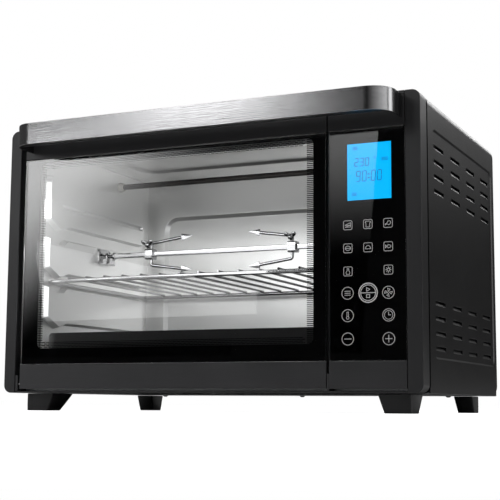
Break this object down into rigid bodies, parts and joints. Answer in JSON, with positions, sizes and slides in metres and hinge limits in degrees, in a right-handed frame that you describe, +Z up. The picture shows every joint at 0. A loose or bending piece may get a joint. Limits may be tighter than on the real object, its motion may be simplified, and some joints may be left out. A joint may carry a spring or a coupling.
{
  "type": "toaster oven",
  "caption": "Countertop mini oven with drop-down glass door, full-width bar handle, touch panel with blue display, wire rack, rotisserie spit, crumb tray and louvred casing.",
  "frame": {"origin": "on the table under the middle of the oven's overall box", "axes": "+X to the right seen from the front, +Y towards the back, +Z up"},
  "size_m": [0.5, 0.384, 0.328],
  "materials": {
    "black_paint": "satin black powder coat",
    "black_plastic": "fine matt moulded black",
    "dark_steel": "horizontally brushed, dark tinted",
    "liner_steel": "satin aluminised sheet",
    "zinc_steel": "plain zinc-plated sheet",
    "chrome_wire": "bright nickel-chrome plate",
    "heater_sheath": "oxidised dark metal sheath",
    "black_glass": "back-printed black gloss panel",
    "door_glass": "clear toughened glass with black printed border",
    "lamp_glass": "clear heat-proof glass",
    "display": "backlit blue liquid-crystal screen",
    "circuit_board": "green solder mask",
    "rubber": "soft black bush"
  },
  "bodies": {
    "cabinet": {"outer_shell": "black_paint", "rear_cover": "black_paint", "base_plate": "zinc_steel", "left_pillar": "black_plastic", "right_pillar": "black_plastic", "top_rail": "black_plastic", "bottom_rail": "black_plastic", "foot_front_left": "black_plastic", "foot_front_right": "black_plastic", "foot_rear_left": "black_plastic", "foot_rear_right": "black_plastic", "cord_gland": "rubber", "liner_left": "liner_steel", "liner_right": "liner_steel", "liner_back": "liner_steel", "liner_top": "liner_steel", "liner_floor": "liner_steel", "front_header": "liner_steel", "front_sill": "zinc_steel", "heater_upper_front": "heater_sheath", "heater_upper_rear": "heater_sheath", "heater_lower_front": "heater_sheath", "heater_lower_rear": "heater_sheath", "lamp_lens": "lamp_glass", "lamp_holder": "zinc_steel", "temperature_probe": "chrome_wire", "thermal_cutout": "black_plastic", "spit_holder": "chrome_wire", "spit_motor": "zinc_steel", "fan_motor": "zinc_steel", "panel_glass": "black_glass", "panel_bottom_trim": "dark_steel", "panel_carrier": "black_plastic", "lcd_module": "display", "control_board": "circuit_board", "power_board": "circuit_board", "hinge_tab_left": "zinc_steel", "hinge_tab_right": "zinc_steel", "door_spring_left": "zinc_steel", "door_spring_right": "zinc_steel"},
    "door": {"door_glass": "door_glass", "door_top_rail": "black_plastic", "door_bottom_trim": "dark_steel", "door_channel_left": "black_paint", "door_channel_right": "black_paint", "door_lower_rail": "black_paint", "handle_band": "dark_steel", "handle_grip": "black_plastic", "hinge_pin_left": "chrome_wire", "hinge_pin_right": "chrome_wire"},
    "rack": {"wire_rack": "chrome_wire"},
    "tray": {"crumb_tray": "dark_steel"},
    "spit": {"spit_rod": "chrome_wire", "fork_left": "chrome_wire", "fork_right": "chrome_wire", "thumbscrew_left": "chrome_wire", "thumbscrew_right": "chrome_wire", "drive_socket": "chrome_wire"},
    "fan": {"fan_blade": "zinc_steel"}
  },
  "joints": [
    {"name": "door_hinge", "type": "hinge", "parent": "cabinet", "child": "door", "pos_m": [0, -0.141, 0.03], "axis": [1, 0, 0], "range_deg": [0, 85], "stiffness_Nm_per_rad": 1.6, "springref_deg": -20.05},
    {"name": "rack_slide", "type": "slide", "parent": "cabinet", "child": "rack", "axis": [0, -1, 0], "range_m": [0, 0.15]},
    {"name": "tray_slide", "type": "slide", "parent": "cabinet", "child": "tray", "axis": [0, -1, 0], "range_m": [0, 0.05]},
    {"name": "spit_turn", "type": "hinge", "parent": "cabinet", "child": "spit", "pos_m": [0, -0.006, 0.192], "axis": [1, 0, 0], "continuous": true},
    {"name": "fan_spin", "type": "hinge", "parent": "cabinet", "child": "fan", "pos_m": [0, 0.054, 0.247], "axis": [1, 0, 0], "continuous": true}
  ],
  "couplings": [
    {"joint": "rack_slide", "follows": "door_hinge", "m_per_rad": 0.1},
    {"joint": "tray_slide", "follows": "door_hinge", "m_per_rad": 0.033}
  ]
}
